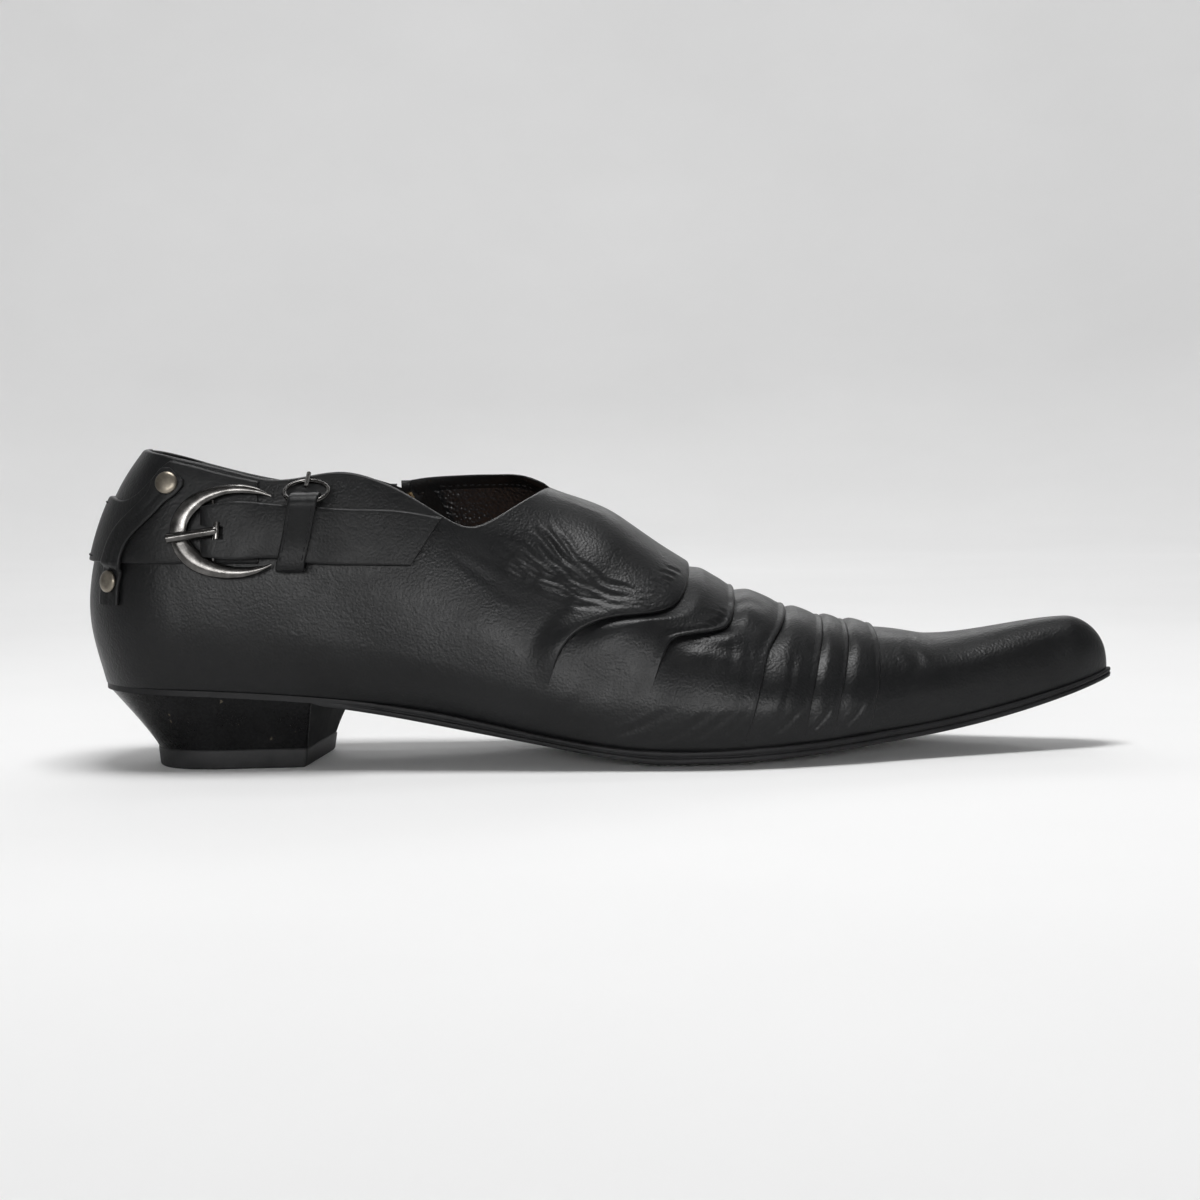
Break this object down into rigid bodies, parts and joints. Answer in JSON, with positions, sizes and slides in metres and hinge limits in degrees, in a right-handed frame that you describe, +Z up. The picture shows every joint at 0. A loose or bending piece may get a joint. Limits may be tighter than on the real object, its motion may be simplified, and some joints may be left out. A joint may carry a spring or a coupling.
{
  "type": "pleated ankle-cut shoe with a low heel",
  "caption": "Pointed right leather shoe with a pleated vamp, ankle-high open collar, buckled heel strap, side zip and a low tapered block heel.",
  "frame": {"origin": "on the floor, under the middle of the shoe's box", "axes": "+X from heel to toe, +Y to the inner side of the foot, +Z up"},
  "size_m": [0.29, 0.085, 0.0889],
  "materials": {
    "upper_leather": "black, fine grain, soft satin gloss",
    "sole_leather": "black, smooth, matt",
    "insole_leather": "tan, fine grain",
    "heel_gloss": "black, lacquered",
    "toplift_rubber": "dark grey, matt",
    "strap_leather": "black, fine grain, satin, raw edges inked",
    "dark_nickel": "polished dark nickel, a little worn",
    "zip_tape": "black, woven, matt",
    "black_metal": "black, satin",
    "stop_brass": "polished"
  },
  "bodies": {
    "shoe": {"upper": "upper_leather", "outsole": "sole_leather", "insole": "insole_leather", "heel_block": "heel_gloss", "heel_toplift": "toplift_rubber", "heel_band": "strap_leather", "back_keeper": "strap_leather", "rivet_upper": "dark_nickel", "rivet_lower": "dark_nickel", "buckle_frame": "dark_nickel", "buckle_prong": "dark_nickel", "buckle_strap": "strap_leather", "keeper_strap": "strap_leather", "ring_buckle": "dark_nickel", "ring_prong": "dark_nickel", "zip_guard": "upper_leather", "zip_tape": "zip_tape", "zip_teeth": "black_metal", "zip_slider": "black_metal", "zip_stop_front": "stop_brass", "zip_stop_rear": "stop_brass"},
    "pull_tab": {"zip_pull": "black_metal"}
  },
  "joints": [
    {"name": "pull_tab_swing", "type": "hinge", "parent": "shoe", "child": "pull_tab", "pos_m": [-0.05375, 0.02765, 0.0679], "axis": [0.9002, -0.1678, 0.4018], "range_deg": [0, 150]}
  ]
}
